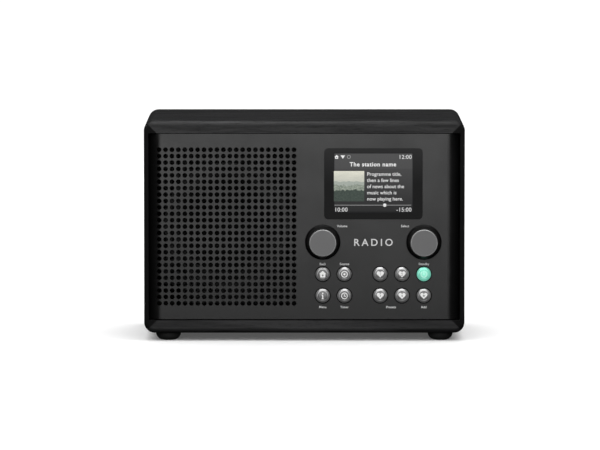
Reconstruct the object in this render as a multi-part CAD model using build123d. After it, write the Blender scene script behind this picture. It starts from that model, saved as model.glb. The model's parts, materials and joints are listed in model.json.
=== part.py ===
from build123d import *

import math
import os

# A tabletop internet and digital radio, in millimetres: a wood-veneered cabinet sleeve closed by a
# moulded front panel and a moulded back panel, on four rubber feet. +Z is up, the front faces -Y,
# +X is to the right as the front is seen, and the origin is under the middle of the object's box,
# on the surface that it stands on.

# ---------------------------------------------------------------- driving dimensions
CABINET_WIDTH = 200.0
CABINET_HEIGHT = 133.0
CABINET_DEPTH = 118.0
FOOT_HEIGHT = 5.0
KNOB_REACH = 8.0        # how far a knob stands out of the front panel
AERIAL_REACH = 7.0      # how far the folded aerial stands out of the back

WALL = 8.0              # thickness of the sleeve's boards
CORNER_RADIUS = 6.6     # the sleeve's four long corners
FRONT_ROUNDING = 3.0    # of its outer edges at the front
BACK_ROUNDING = 1.2     # and at the back
SIDE_LIP = 2.8          # what is left of the side walls beside the front panel
REBATE_DEPTH = 12.0
BACK_REBATE_STEP = 3.0
BACK_REBATE_DEPTH = 5.0

PANEL_TOP_GAP = 0.4     # gaps between the front panel and the sleeve
PANEL_BOTTOM_GAP = 0.8
PANEL_SIDE_GAP = 0.3
PANEL_WALL = 2.5
PANEL_FLANGE = 11.8     # depth of the front panel's tray
PANEL_SIDE_RADIUS = 8.0

HOLE_PITCH = 4.0
HOLE_RADIUS = 1.5
HOLE_COLUMNS = 22
HOLE_ROWS = 25
GRILLE_CENTRE_X = -48.4
GRILLE_CENTRE_Z = 71.7

SPEAKER_X = -48.4
SPEAKER_Z = 73.0
SPEAKER_RADIUS = 39.0
SPEAKER_EAR_REACH = 43.5

SCREEN_X = 43.0
SCREEN_Z = 98.4
LENS_WIDTH = 61.2
LENS_HEIGHT = 44.2
LENS_THICKNESS = 1.1
LENS_FRONT = 0.1        # how deep its face lies
LENS_CORNER = 2.5
SCREEN_OPENING = (55.0, 41.0)
MODULE_WIDTH = 60.3     # a 2.4 inch colour display
MODULE_HEIGHT = 42.7

KNOB_CENTRES = {"volume": 11.45, "select": 74.5}
KNOB_Z = 62.0
KNOB_BASE_RADIUS = 11.0
KNOB_FACE_RADIUS = 9.1
KNOB_CAP_RADIUS = 8.4

BUTTON_TOP_Z = 42.0
BUTTON_BOTTOM_Z = 28.5
BUTTON_RADIUS = 4.4
BUTTON_HOLE_RADIUS = 5.05
BUTTON_REACH = 1.5
BUTTONS = {
    "home_button": (11.45, BUTTON_TOP_Z),
    "source_button": (25.0, BUTTON_TOP_Z),
    "preset_1_button": (47.3, BUTTON_TOP_Z),
    "preset_2_button": (60.9, BUTTON_TOP_Z),
    "standby_button": (74.5, BUTTON_TOP_Z),
    "info_button": (11.45, BUTTON_BOTTOM_Z),
    "timer_button": (25.0, BUTTON_BOTTOM_Z),
    "preset_3_button": (47.3, BUTTON_BOTTOM_Z),
    "preset_4_button": (60.9, BUTTON_BOTTOM_Z),
    "add_preset_button": (74.5, BUTTON_BOTTOM_Z),
}

FOOT_X = 85.0
FOOT_SETBACK = 12.0
FOOT_RADIUS = 7.75
FOOT_FLAT_RADIUS = 3.8

SCREW_X = 86.0          # the four front and four back case screws
SCREW_OFFSET_Z = 52.0   # from the middle of the cabinet
SCREW_RADIUS = 1.5
SCREW_CLEARANCE = 0.2
BLOCK = 12.0            # side of a corner block

AERIAL_X = 72.0
AERIAL_Z = 116.0
AERIAL_TUBE_RADII = (3.0, 2.5, 2.0, 1.5)
AERIAL_TUBE_WALL = 0.4
AERIAL_TUBE_LENGTH = 130.0
AERIAL_STEP = 1.0       # how much each folded section shows beyond the one around it

# ---------------------------------------------------------------- levels worked out from them
DEPTH_OVERALL = KNOB_REACH + CABINET_DEPTH + AERIAL_REACH
Y_FRONT = KNOB_REACH - DEPTH_OVERALL / 2
Y_BACK = Y_FRONT + CABINET_DEPTH
Z_BOTTOM = FOOT_HEIGHT
Z_TOP = Z_BOTTOM + CABINET_HEIGHT
Z_MIDDLE = (Z_BOTTOM + Z_TOP) / 2
INNER_WIDTH = CABINET_WIDTH - 2 * WALL
INNER_HEIGHT = CABINET_HEIGHT - 2 * WALL
PANEL_WIDTH = CABINET_WIDTH - 2 * (SIDE_LIP + PANEL_SIDE_GAP)
PANEL_HEIGHT = INNER_HEIGHT - PANEL_TOP_GAP - PANEL_BOTTOM_GAP
PANEL_Z = Z_MIDDLE + (PANEL_BOTTOM_GAP - PANEL_TOP_GAP) / 2

BOSS_END = 14.5         # depths behind the front panel's face
BOARD_FRONT = 12.5
BOARD_BACK = 14.1
SPEAKER_FRONT = 7.0
MODULE_FRONT = 2.7
MODULE_BACK = 5.2

BACK_PLATE = 3.0
BACK_INSIDE = Y_BACK - BACK_REBATE_DEPTH
BACK_OUTSIDE = BACK_INSIDE + BACK_PLATE
MAIN_BOARD_BACK = BACK_INSIDE - 14.4
MAIN_BOARD_FRONT = MAIN_BOARD_BACK - 1.6
SOCKET_Z = 32.0
AERIAL_Y = Y_BACK + AERIAL_REACH - 3.6

BOARD_SCREWS = ((8.5, 118.0), (77.0, 118.0), (8.5, 50.4), (78.3, 50.4), (36.5, 35.1))
MAIN_BOARD_SCREWS = ((8.0, 25.0), (76.0, 25.0), (8.0, 96.0), (82.0, 96.0))
SPEAKER_EAR_ANGLES = (45, 135, 225, 315)


def deep(depth):
    """The Y of a depth behind the front panel's face."""
    return Y_FRONT + depth


# ---------------------------------------------------------------- shape helpers
def block(x_span, y_span, z_span):
    """A box between limits."""
    size = [span[1] - span[0] for span in (x_span, y_span, z_span)]
    middle = [(span[1] + span[0]) / 2 for span in (x_span, y_span, z_span)]
    return Pos(*middle) * Box(*size)


def peg(radius, y_span, x, z):
    """A cylinder along Y."""
    length = y_span[1] - y_span[0]
    return Pos(x, sum(y_span) / 2, z) * Rot(90, 0, 0) * Cylinder(radius, length)


def bar(radius, x_span, y, z):
    """A cylinder along X."""
    length = x_span[1] - x_span[0]
    return Pos(sum(x_span) / 2, y, z) * Rot(0, 90, 0) * Cylinder(radius, length)


def plate(width, height, radius, y_span, x=0.0, z=0.0):
    """A flat plate in the XZ plane, with rounded corners."""
    face = Plane(origin=(x, y_span[0], z), x_dir=(1, 0, 0), z_dir=(0, 1, 0)) * RectangleRounded(
        width, height, radius
    )
    return extrude(face, amount=y_span[1] - y_span[0])


def turned(outline, x=0.0, z=0.0):
    """A solid turned about a line along Y, from a closed outline of (radius, y) points."""
    with BuildLine() as edge:
        Polyline(*outline, close=True)
    return Pos(x, 0, z) * revolve(make_face(edge.line), Axis.Y)


def corners():
    """The (x, z) of the four case screws."""
    return [
        (side * SCREW_X, Z_MIDDLE + level * SCREW_OFFSET_Z) for side in (-1, 1) for level in (-1, 1)
    ]


def speaker_ears():
    """The (x, z) of the speaker's four screws."""
    return [
        (
            SPEAKER_X + SPEAKER_EAR_REACH * math.cos(math.radians(angle)),
            SPEAKER_Z + SPEAKER_EAR_REACH * math.sin(math.radians(angle)),
        )
        for angle in SPEAKER_EAR_ANGLES
    ]


def pan_screw(x, z, head_from, direction, shank, radius=SCREW_RADIUS, head=3.0, head_height=2.0):
    """A pan-head screw along Y. head_from is where its head's underside lies, and direction is the
    way that its shank points, -1 or 1."""
    tip = head_from + direction * shank
    crown = head_from - direction * head_height
    body = peg(head, sorted((head_from, crown)), x, z) + peg(radius, sorted((head_from, tip)), x, z)
    slot = peg(head * 0.45, sorted((crown, crown + direction * 1.2)), x, z)
    return body - slot


def cord(points, radius):
    """A round lead along straight runs joined by arcs as large as the runs allow."""
    points = [Vector(*p) for p in points]
    radii = []
    for before, here, after in zip(points, points[1:], points[2:]):
        turn = math.radians((here - before).get_angle(after - here))
        shorter = min((here - before).length, (after - here).length)
        radii.append(0.45 * shorter / math.tan(turn / 2))
    path = FilletPolyline(*points, radius=radii).wire()
    section = Plane(origin=path @ 0, z_dir=path % 0) * Circle(radius)
    tube = sweep(section, path=path)
    print("lead length", round(path.length, 1))
    return tube


# ---------------------------------------------------------------- cabinet
def cabinet_sleeve():
    """A tube of four mitred boards, with a rebate at each side for the front panel and a rebate all
    round for the back panel."""
    shell = plate(CABINET_WIDTH, CABINET_HEIGHT, CORNER_RADIUS, (Y_FRONT, Y_BACK), z=Z_MIDDLE)
    for y, rounding in ((Y_FRONT, FRONT_ROUNDING), (Y_BACK, BACK_ROUNDING)):
        rim = shell.edges().filter_by(lambda e: abs(e.center().Y - y) < 0.01)
        shell = fillet(rim, rounding)
    inner_z = (Z_MIDDLE - INNER_HEIGHT / 2, Z_MIDDLE + INNER_HEIGHT / 2)
    shell -= block((-INNER_WIDTH / 2, INNER_WIDTH / 2), (Y_FRONT - 1, Y_BACK + 1), inner_z)
    rebate_x = CABINET_WIDTH / 2 - SIDE_LIP
    shell -= block((-rebate_x, rebate_x), (Y_FRONT - 1, deep(REBATE_DEPTH)), inner_z)
    shell -= plate(
        INNER_WIDTH + 2 * BACK_REBATE_STEP,
        INNER_HEIGHT + 2 * BACK_REBATE_STEP,
        4.0,
        (BACK_INSIDE, Y_BACK + 1),
        z=Z_MIDDLE,
    )
    for x, y in foot_places().values():
        shell -= Pos(x, y, Z_BOTTOM + 2.25) * Cylinder(2.5, 4.5)
    return shell


def corner_blocks():
    """Eight wood blocks glued into the sleeve's corners, which take the case screws."""
    made = []
    spans = (
        ((deep(BOSS_END), deep(BOSS_END + BLOCK)), SCREW_RADIUS + SCREW_CLEARANCE),
        ((BACK_INSIDE - BLOCK, BACK_INSIDE), SCREW_RADIUS),
    )
    for x, z in corners():
        x_span = sorted((math.copysign(INNER_WIDTH / 2, x), math.copysign(INNER_WIDTH / 2 - BLOCK, x)))
        wall_z = Z_MIDDLE + math.copysign(INNER_HEIGHT / 2, z - Z_MIDDLE)
        z_span = sorted((wall_z, wall_z - math.copysign(BLOCK, z - Z_MIDDLE)))
        for y_span, hole in spans:
            made.append(block(x_span, y_span, z_span) - peg(hole, (y_span[0] - 1, y_span[1] + 1), x, z))
    return Compound(made)


def foot_places():
    """The (x, y) of each foot."""
    return {
        "foot_front_left": (-FOOT_X, Y_FRONT + FOOT_SETBACK),
        "foot_front_right": (FOOT_X, Y_FRONT + FOOT_SETBACK),
        "foot_rear_left": (-FOOT_X, Y_BACK - FOOT_SETBACK),
        "foot_rear_right": (FOOT_X, Y_BACK - FOOT_SETBACK),
    }


def foot(x, y):
    """A domed rubber foot with a spigot that pushes into the bottom board."""
    shoulder = FOOT_HEIGHT - 1.2
    with BuildLine() as edge:
        Line((0, 0), (FOOT_FLAT_RADIUS, 0))
        RadiusArc((FOOT_FLAT_RADIUS, 0), (FOOT_RADIUS, shoulder), -4.6)
        Polyline(
            (FOOT_RADIUS, shoulder),
            (FOOT_RADIUS, FOOT_HEIGHT),
            (2.5, FOOT_HEIGHT),
            (2.5, FOOT_HEIGHT + 4),
            (0, FOOT_HEIGHT + 4),
            (0, 0),
        )
    profile = Plane.XZ * make_face(edge.line)
    return Pos(x, y, 0) * revolve(profile, Axis.Z)


# ---------------------------------------------------------------- front panel and what is behind it
def grille_holes():
    """The cutters for the speaker grille's square grid of round holes."""
    x_reach = (HOLE_COLUMNS - 1) * HOLE_PITCH / 2
    z_reach = (HOLE_ROWS - 1) * HOLE_PITCH / 2
    cutters = []
    for column in range(HOLE_COLUMNS):
        for row in range(HOLE_ROWS):
            x = GRILLE_CENTRE_X - x_reach + column * HOLE_PITCH
            z = GRILLE_CENTRE_Z - z_reach + row * HOLE_PITCH
            cutters.append(peg(HOLE_RADIUS, (deep(-1), deep(PANEL_WALL + 2.1)), x, z))
    return cutters


def front_panel():
    """A shallow moulded tray whose side edges wrap round, with the speaker's perforations, the
    screen's window, and holes for the knobs and buttons."""
    half_width, half_height = PANEL_WIDTH / 2, PANEL_HEIGHT / 2
    outside = block(
        (-half_width, half_width),
        (Y_FRONT, deep(PANEL_FLANGE)),
        (PANEL_Z - half_height, PANEL_Z + half_height),
    )
    inside = block(
        (-half_width + PANEL_WALL, half_width - PANEL_WALL),
        (deep(PANEL_WALL), deep(PANEL_FLANGE)),
        (PANEL_Z - half_height + PANEL_WALL, PANEL_Z + half_height - PANEL_WALL),
    )
    side_edges = outside.edges().filter_by(Axis.Z).group_by(Axis.Y)[0]
    outside = fillet(side_edges, PANEL_SIDE_RADIUS)
    side_edges = inside.edges().filter_by(Axis.Z).group_by(Axis.Y)[0]
    inside = fillet(side_edges, PANEL_SIDE_RADIUS - PANEL_WALL)
    panel = outside - inside
    for x, z in corners():
        panel += peg(4.0, (deep(PANEL_WALL), deep(BOSS_END)), x, z)
    for x, z in speaker_ears():
        panel += peg(3.0, (deep(PANEL_WALL), deep(SPEAKER_FRONT)), x, z)
    for x, z in BOARD_SCREWS:
        panel += peg(2.5, (deep(PANEL_WALL), deep(BOARD_FRONT)), x, z)
    for x, z in BUTTONS.values():
        panel += peg(BUTTON_HOLE_RADIUS + 1.15, (deep(PANEL_WALL), deep(5.5)), x, z)

    for x, z in BUTTONS.values():
        panel -= peg(BUTTON_HOLE_RADIUS, (deep(-1), deep(6)), x, z)
    for x in KNOB_CENTRES.values():
        panel -= peg(4.2, (deep(-1), deep(PANEL_WALL + 1)), x, KNOB_Z)
    lens_recess = (deep(-1), deep(LENS_FRONT + LENS_THICKNESS))
    panel -= plate(
        LENS_WIDTH + 0.2, LENS_HEIGHT + 0.2, LENS_CORNER + 0.1, lens_recess, SCREEN_X, SCREEN_Z
    )
    panel -= plate(*SCREEN_OPENING, 1.5, (deep(0), deep(PANEL_WALL + 1)), SCREEN_X, SCREEN_Z)
    for x, z in corners():
        panel -= peg(SCREW_RADIUS, (deep(BOSS_END - 9), deep(BOSS_END + 1)), x, z)
    for x, z in speaker_ears():
        panel -= peg(1.25, (deep(SPEAKER_FRONT - 4.4), deep(SPEAKER_FRONT + 1)), x, z)
    for x, z in BOARD_SCREWS:
        panel -= peg(1.25, (deep(BOARD_FRONT - 7), deep(BOARD_FRONT + 1)), x, z)
    return panel - grille_holes()


def display_lens():
    y_span = (deep(LENS_FRONT), deep(LENS_FRONT + LENS_THICKNESS))
    return plate(LENS_WIDTH, LENS_HEIGHT, LENS_CORNER, y_span, SCREEN_X, SCREEN_Z)


def display_module():
    """The display's metal-framed glass."""
    y_span = (deep(MODULE_FRONT), deep(MODULE_BACK))
    glass_recess = (deep(MODULE_FRONT - 1), deep(MODULE_FRONT + 0.3))
    module = plate(MODULE_WIDTH, MODULE_HEIGHT, 0.8, y_span, SCREEN_X, SCREEN_Z)
    return module - plate(52.0, 39.6, 0.5, glass_recess, SCREEN_X, SCREEN_Z)


def display_carrier():
    """A plastic frame that holds the display off the control board."""
    y_span = (deep(MODULE_BACK), deep(BOARD_FRONT))
    frame = plate(MODULE_WIDTH, MODULE_HEIGHT, 1.5, y_span, SCREEN_X, SCREEN_Z)
    return frame - plate(54.0, 37.0, 1.0, (y_span[0] - 1, y_span[1] + 1), SCREEN_X, SCREEN_Z)


def control_board():
    board = block((4.0, 81.0), (deep(BOARD_FRONT), deep(BOARD_BACK)), (21.0, 124.0))
    for x, z in BOARD_SCREWS:
        board -= peg(1.25, (deep(BOARD_FRONT - 1), deep(BOARD_BACK + 1)), x, z)
    return board


def tact_switches():
    """The ten switches behind the buttons, each with a well that its plunger slides in."""
    made = []
    for x, z in BUTTONS.values():
        body = block((x - 3, x + 3), (deep(9), deep(BOARD_FRONT)), (z - 3, z + 3))
        made.append(body - peg(1.85, (deep(8), deep(11)), x, z))
    return Compound(made)


def button(x, z):
    """A domed cap with a fine groove round its face, a flange that keeps it in the panel, and the stem
    that works its switch."""
    face = deep(-BUTTON_REACH)
    inner, groove, outer = (2.5, face + 0.1), (2.62, face + 0.28), (2.88, face + 0.15)
    shoulder = (BUTTON_RADIUS, face + 0.95)
    with BuildLine() as edge:
        RadiusArc((0, face), inner, -31.3)
        Line(inner, groove)
        Line(groove, outer)
        RadiusArc(outer, shoulder, -2.3)
        Polyline(
            shoulder,
            (BUTTON_RADIUS, deep(5.8)),
            (5.8, deep(5.8)),
            (5.8, deep(6.8)),
            (1.75, deep(6.8)),
            (1.75, deep(10.0)),
            (0, deep(10.0)),
            (0, face),
        )
    return Pos(x, 0, z) * revolve(make_face(edge.line), Axis.Y)


# ---------------------------------------------------------------- knobs and their encoders
def knob(x):
    """A tapered, hollow knob with a D-shaped hub and a recess in its face for the metal cap."""
    outline = [
        (5.0, deep(-0.8)),
        (5.0, deep(-KNOB_REACH + 3.0)),
        (7.4, deep(-KNOB_REACH + 3.0)),
        (9.2, deep(-0.8)),
        (KNOB_BASE_RADIUS - 0.3, deep(-0.8)),
        (KNOB_BASE_RADIUS, deep(-1.1)),
        (KNOB_BASE_RADIUS - 0.9, deep(-2.6)),
        (KNOB_FACE_RADIUS + 0.15, deep(-KNOB_REACH + 1.0)),
        (KNOB_FACE_RADIUS - 0.2, deep(-KNOB_REACH + 0.2)),
        (KNOB_CAP_RADIUS, deep(-KNOB_REACH + 0.1)),
        (KNOB_CAP_RADIUS, deep(-KNOB_REACH + 1.1)),
        (0, deep(-KNOB_REACH + 1.1)),
        (0, deep(-0.8)),
    ]
    return turned(outline, x, KNOB_Z) - d_bar((deep(-6.2), deep(0)), x)


def d_bar(y_span, x):
    """The shaft's D shape, flat on top."""
    flat = block((x - 4, x + 4), (y_span[0] - 1, y_span[1] + 1), (KNOB_Z + 1.5, KNOB_Z + 4))
    return peg(3.0, y_span, x, KNOB_Z) - flat


def knob_cap(x):
    """A slightly crowned aluminium disc inlaid in the knob's face."""
    disc = peg(KNOB_CAP_RADIUS, (deep(-KNOB_REACH), deep(-KNOB_REACH + 1.1)), x, KNOB_Z)
    rim = disc.edges().filter_by(GeomType.CIRCLE).group_by(Axis.Y)[0]
    return fillet(rim, 0.35)


def encoder_shaft(x):
    """A D shaft that slides 0.5 mm to work the push switch, with a square tail that drives the
    encoder's wheel."""
    shaft = d_bar((deep(-6.2), deep(-0.6)), x) + peg(3.0, (deep(-0.6), deep(8.0)), x, KNOB_Z)
    return shaft + block((x - 1.8, x + 1.8), (deep(8.0), deep(11.0)), (KNOB_Z - 1.8, KNOB_Z + 1.8))


def encoder_body(x):
    """The encoder's housing and its bush."""
    body = block((x - 6.25, x + 6.25), (deep(6), deep(BOARD_FRONT)), (KNOB_Z - 6.25, KNOB_Z + 6.25))
    body += peg(3.5, (deep(0.5), deep(6)), x, KNOB_Z)
    body -= peg(5.4, (deep(7.3), deep(11.7)), x, KNOB_Z)
    return body - peg(3.05, (deep(0), deep(8)), x, KNOB_Z)


def encoder_rotor(x):
    """The wheel that the shaft's square tail turns inside the encoder."""
    wheel = peg(5.1, (deep(8.8), deep(10.4)), x, KNOB_Z)
    return wheel - block((x - 1.85, x + 1.85), (deep(8), deep(12)), (KNOB_Z - 1.85, KNOB_Z + 1.85))


# ---------------------------------------------------------------- loudspeaker
def speaker_basket():
    """A pressed frame with four windows, four screw ears and a shelf for the spider."""
    basket = turned(
        [
            (34.0, deep(7.0)),
            (SPEAKER_RADIUS, deep(7.0)),
            (SPEAKER_RADIUS, deep(8.2)),
            (36.6, deep(8.2)),
            (26.2, deep(23.6)),
            (25.0, deep(23.6)),
            (24.4, deep(31.0)),
            (12.0, deep(31.0)),
            (12.0, deep(29.8)),
            (23.3, deep(29.8)),
            (23.9, deep(23.6)),
            (22.8, deep(23.6)),
            (22.8, deep(22.6)),
            (25.4, deep(22.6)),
            (34.9, deep(8.2)),
            (34.0, deep(8.2)),
        ],
        SPEAKER_X,
        SPEAKER_Z,
    )
    for (x, z), angle in zip(speaker_ears(), SPEAKER_EAR_ANGLES):
        lug = block((SPEAKER_RADIUS - 2, SPEAKER_EAR_REACH), (deep(7.0), deep(8.2)), (-4.2, 4.2))
        basket += Pos(SPEAKER_X, 0, SPEAKER_Z) * Rot(0, -angle, 0) * lug
        basket += peg(4.2, (deep(7.0), deep(8.2)), x, z)
    for x, z in speaker_ears():
        basket -= peg(1.25, (deep(6), deep(9)), x, z)
    for angle in (0, 90, 180, 270):
        window = Pos(40, 0, 0) * Box(40, 9.0, 30)
        window = Rot(0, angle, 0) * window
        basket -= Pos(SPEAKER_X, deep(15.5), SPEAKER_Z) * window
    tag = block((24.0, 30.0), (deep(27.0), deep(28.2)), (-4, 4))
    return basket + Pos(SPEAKER_X, 0, SPEAKER_Z) * tag


def speaker_gasket():
    return turned(
        [(35.6, deep(2.6)), (38.8, deep(2.6)), (38.8, deep(7.0)), (35.6, deep(7.0))], SPEAKER_X, SPEAKER_Z
    )


def speaker_surround():
    """The rubber half-roll between the cone and the basket."""
    inner, outer, skin, rim = 29.6, 34.6, 0.5, 0.9
    middle, roll = (inner + outer) / 2, (outer - inner) / 2
    seat = deep(SPEAKER_FRONT)
    with BuildLine() as edge:
        Line((inner - rim, seat), (inner, seat))
        ThreePointArc((inner, seat), (middle, seat - roll), (outer, seat))
        Polyline((outer, seat), (outer + rim, seat), (outer + rim, seat - skin), (outer + 0.3, seat - skin))
        ThreePointArc(
            (outer + 0.3, seat - skin), (middle, seat - roll - skin), (inner - 0.3, seat - skin)
        )
        Polyline((inner - 0.3, seat - skin), (inner - rim, seat - skin), (inner - rim, seat))
    return Pos(SPEAKER_X, 0, SPEAKER_Z) * revolve(make_face(edge.line), Axis.Y)


def speaker_cone():
    """A paper cone with a flat rim that the surround is glued to."""
    return turned(
        [
            (29.5, deep(7.05)),
            (29.5, deep(7.6)),
            (27.6, deep(7.8)),
            (10.1, deep(17.6)),
            (10.1, deep(16.9)),
            (27.4, deep(7.2)),
        ],
        SPEAKER_X,
        SPEAKER_Z,
    )


def speaker_dust_cap():
    """A dome that closes the cone's middle."""
    rim, crown, skin = 11.6, 3.6, 0.5
    seat = 15.9
    with BuildLine() as edge:
        RadiusArc((0, deep(seat - crown)), (rim, deep(seat)), -(rim**2 + crown**2) / (2 * crown))
        Line((rim, deep(seat)), (rim - 0.6, deep(seat)))
        RadiusArc(
            (rim - 0.6, deep(seat)),
            (0, deep(seat - crown + skin)),
            ((rim - 0.6) ** 2 + (crown - skin) ** 2) / (2 * (crown - skin)),
        )
        Line((0, deep(seat - crown + skin)), (0, deep(seat - crown)))
    return Pos(SPEAKER_X, 0, SPEAKER_Z) * revolve(make_face(edge.line), Axis.Y)


def voice_coil():
    """A thin former with its winding."""
    return turned(
        [
            (9.85, deep(17.0)),
            (10.05, deep(17.0)),
            (10.05, deep(29.4)),
            (10.35, deep(29.4)),
            (10.35, deep(35.0)),
            (9.85, deep(35.0)),
        ],
        SPEAKER_X,
        SPEAKER_Z,
    )


def speaker_spider():
    """The corrugated cloth disc that centres the voice coil."""
    folds, skin, swing = 6, 0.4, 0.8
    inner, outer = 10.1, 25.2
    step = (outer - inner) / folds
    level = 22.15
    front = [(inner + i * step, deep(level + (swing if i % 2 else 0) - swing)) for i in range(folds + 1)]
    front[0] = (inner, deep(level))
    front[-1] = (outer, deep(level))
    back = [(radius, y + skin) for radius, y in reversed(front)]
    return turned(front + back, SPEAKER_X, SPEAKER_Z)


def speaker_magnet_ring(inner, outer, y_span):
    """One of the flat rings of the magnet assembly."""
    ring = peg(outer, y_span, SPEAKER_X, SPEAKER_Z)
    return ring - peg(inner, (y_span[0] - 1, y_span[1] + 1), SPEAKER_X, SPEAKER_Z)


def speaker_yoke():
    """The steel back plate and its pole piece."""
    return turned(
        [
            (0, deep(31.0)),
            (9.5, deep(31.0)),
            (9.5, deep(43.0)),
            (24.0, deep(43.0)),
            (24.0, deep(46.0)),
            (23.5, deep(46.5)),
            (0, deep(46.5)),
        ],
        SPEAKER_X,
        SPEAKER_Z,
    )


# ---------------------------------------------------------------- back panel and main board
SOCKETS = {"dc_jack": 64.0, "headphone_jack": 44.0, "usb_socket": 26.0}


def back_panel():
    """A flat moulded plate in the sleeve's back rebate, with posts for the main board, the socket
    holes, the aerial's bearing and the ledge that the folded aerial lies over."""
    panel = plate(
        INNER_WIDTH + 2 * BACK_REBATE_STEP - 0.6,
        INNER_HEIGHT + 2 * BACK_REBATE_STEP - 0.6,
        3.7,
        (BACK_INSIDE, BACK_OUTSIDE),
        z=Z_MIDDLE,
    )
    rim = panel.edges().filter_by(lambda e: abs(e.center().Y - BACK_OUTSIDE) < 0.01)
    panel = fillet(rim, 0.5)
    for x, z in MAIN_BOARD_SCREWS:
        panel += peg(3.0, (MAIN_BOARD_BACK, BACK_INSIDE), x, z)
    ledge_x = AERIAL_X - 130
    panel += block(
        (ledge_x - 4, ledge_x + 4),
        (BACK_OUTSIDE - 1, AERIAL_Y + 2.2),
        (AERIAL_Z - AERIAL_TUBE_RADII[0] - 3.3, AERIAL_Z - AERIAL_TUBE_RADII[0] - 0.3),
    )
    panel -= plate(60.0, 18.0, 4.0, (BACK_OUTSIDE - 0.8, BACK_OUTSIDE + 1), 45.0, SOCKET_Z)
    for x, z in corners():
        panel -= peg(SCREW_RADIUS + SCREW_CLEARANCE, (BACK_INSIDE - 1, BACK_OUTSIDE + 1), x, z)
        panel -= peg(3.2, (BACK_OUTSIDE - 2, BACK_OUTSIDE + 1), x, z)
    for x, z in MAIN_BOARD_SCREWS:
        panel -= peg(1.25, (MAIN_BOARD_BACK - 1, MAIN_BOARD_BACK + 8), x, z)
    through = (BACK_INSIDE - 1, BACK_OUTSIDE + 1)
    panel -= peg(4.7, through, SOCKETS["dc_jack"], SOCKET_Z)
    panel -= peg(3.7, through, SOCKETS["headphone_jack"], SOCKET_Z)
    panel -= plate(9.6, 3.9, 1.9, through, SOCKETS["usb_socket"], SOCKET_Z)
    return panel - peg(4.55, through, AERIAL_X, AERIAL_Z)


def main_board():
    board = block((2.0, 86.0), (MAIN_BOARD_FRONT, MAIN_BOARD_BACK), (20.0, 100.0))
    for x, z in MAIN_BOARD_SCREWS:
        board -= peg(1.25, (MAIN_BOARD_FRONT - 1, MAIN_BOARD_BACK + 1), x, z)
    return board


def board_components():
    """The tuner's shield can, the radio module and four capacitors on the main board."""
    y = MAIN_BOARD_FRONT
    made = [
        block((50.0, 80.0), (y - 3.5, y), (62.0, 92.0)),
        block((30.0, 46.0), (y - 2.5, y), (74.0, 92.0)),
    ]
    made += [peg(4.0, (y - 12, y), x, z) for x in (13.0, 23.0) for z in (40.0, 51.0)]
    return Compound(made)


RIBBON_X = 50.0
RIBBON_START = (deep(BOARD_BACK + 4), 37.0)
RIBBON_END = (MAIN_BOARD_FRONT - 4, 53.0)
SPEAKER_PLUG = (8.0, MAIN_BOARD_FRONT - 6, 69.0)


def board_connectors():
    """The two ribbon sockets and the speaker's plug and socket."""
    plug_x, plug_y, plug_z = SPEAKER_PLUG
    return Compound(
        [
            block((RIBBON_X - 10, RIBBON_X + 10), (deep(BOARD_BACK), RIBBON_START[0]), (34.0, 40.0)),
            block((RIBBON_X - 10, RIBBON_X + 10), (RIBBON_END[0], MAIN_BOARD_FRONT), (50.0, 56.0)),
            block((plug_x - 4, plug_x + 4), (plug_y, MAIN_BOARD_FRONT), (plug_z - 3, plug_z + 3)),
        ]
    )


def ribbon_cable():
    """A flat flexible cable between the two boards, in one gentle S."""
    start_y, start_z = RIBBON_START
    end_y, end_z = RIBBON_END
    points = [
        (RIBBON_X, start_y, start_z),
        (RIBBON_X, start_y + 24, start_z),
        (RIBBON_X, end_y - 24, end_z),
        (RIBBON_X, end_y, end_z),
    ]
    path = FilletPolyline(*points, radius=22).wire()
    section = Plane(origin=path @ 0, x_dir=(1, 0, 0), z_dir=path % 0) * Rectangle(18.0, 0.3)
    return sweep(section, path=path)


def internal_leads():
    """The speaker's two-core lead and the aerial's screened lead."""
    tag_x, tag_y = SPEAKER_X + 30, deep(27.6)
    speaker_lead = cord(
        [
            (tag_x, tag_y, SPEAKER_Z),
            (tag_x + 12, tag_y, SPEAKER_Z),
            (-1.0, tag_y + 12, 70.0),
            (5.0, 0.0, 66.0),
            (8.0, 14.0, 69.0),
            SPEAKER_PLUG,
        ],
        1.2,
    )
    aerial_lead = cord(
        [
            (AERIAL_X, BACK_INSIDE - 2.0, AERIAL_Z),
            (AERIAL_X, BACK_INSIDE - 11.0, AERIAL_Z - 1),
            (AERIAL_X - 5, MAIN_BOARD_FRONT - 1.7, AERIAL_Z - 9),
            (AERIAL_X - 5, MAIN_BOARD_FRONT - 1.7, 92.0),
        ],
        0.9,
    )
    return Compound([speaker_lead, aerial_lead])


def dc_jack():
    """A 5.5 by 2.1 mm power inlet: a housing with a round nose, a well and a centre pin."""
    x = SOCKETS["dc_jack"]
    jack = block((x - 5, x + 5), (MAIN_BOARD_BACK, BACK_INSIDE - 0.1), (SOCKET_Z - 5, SOCKET_Z + 5))
    jack += peg(4.5, (BACK_INSIDE - 0.1, BACK_OUTSIDE - 0.8), x, SOCKET_Z)
    jack -= peg(3.1, (BACK_OUTSIDE - 10.3, BACK_OUTSIDE + 1), x, SOCKET_Z)
    return jack + peg(1.0, (BACK_OUTSIDE - 11, BACK_OUTSIDE - 1.3), x, SOCKET_Z)


def headphone_jack():
    """A 3.5 mm socket."""
    x = SOCKETS["headphone_jack"]
    jack = block((x - 4, x + 4), (MAIN_BOARD_BACK, BACK_INSIDE - 0.1), (SOCKET_Z - 4, SOCKET_Z + 4))
    jack += peg(3.5, (BACK_INSIDE - 0.1, BACK_OUTSIDE - 0.8), x, SOCKET_Z)
    return jack - peg(1.8, (BACK_OUTSIDE - 15.8, BACK_OUTSIDE + 1), x, SOCKET_Z)


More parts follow.
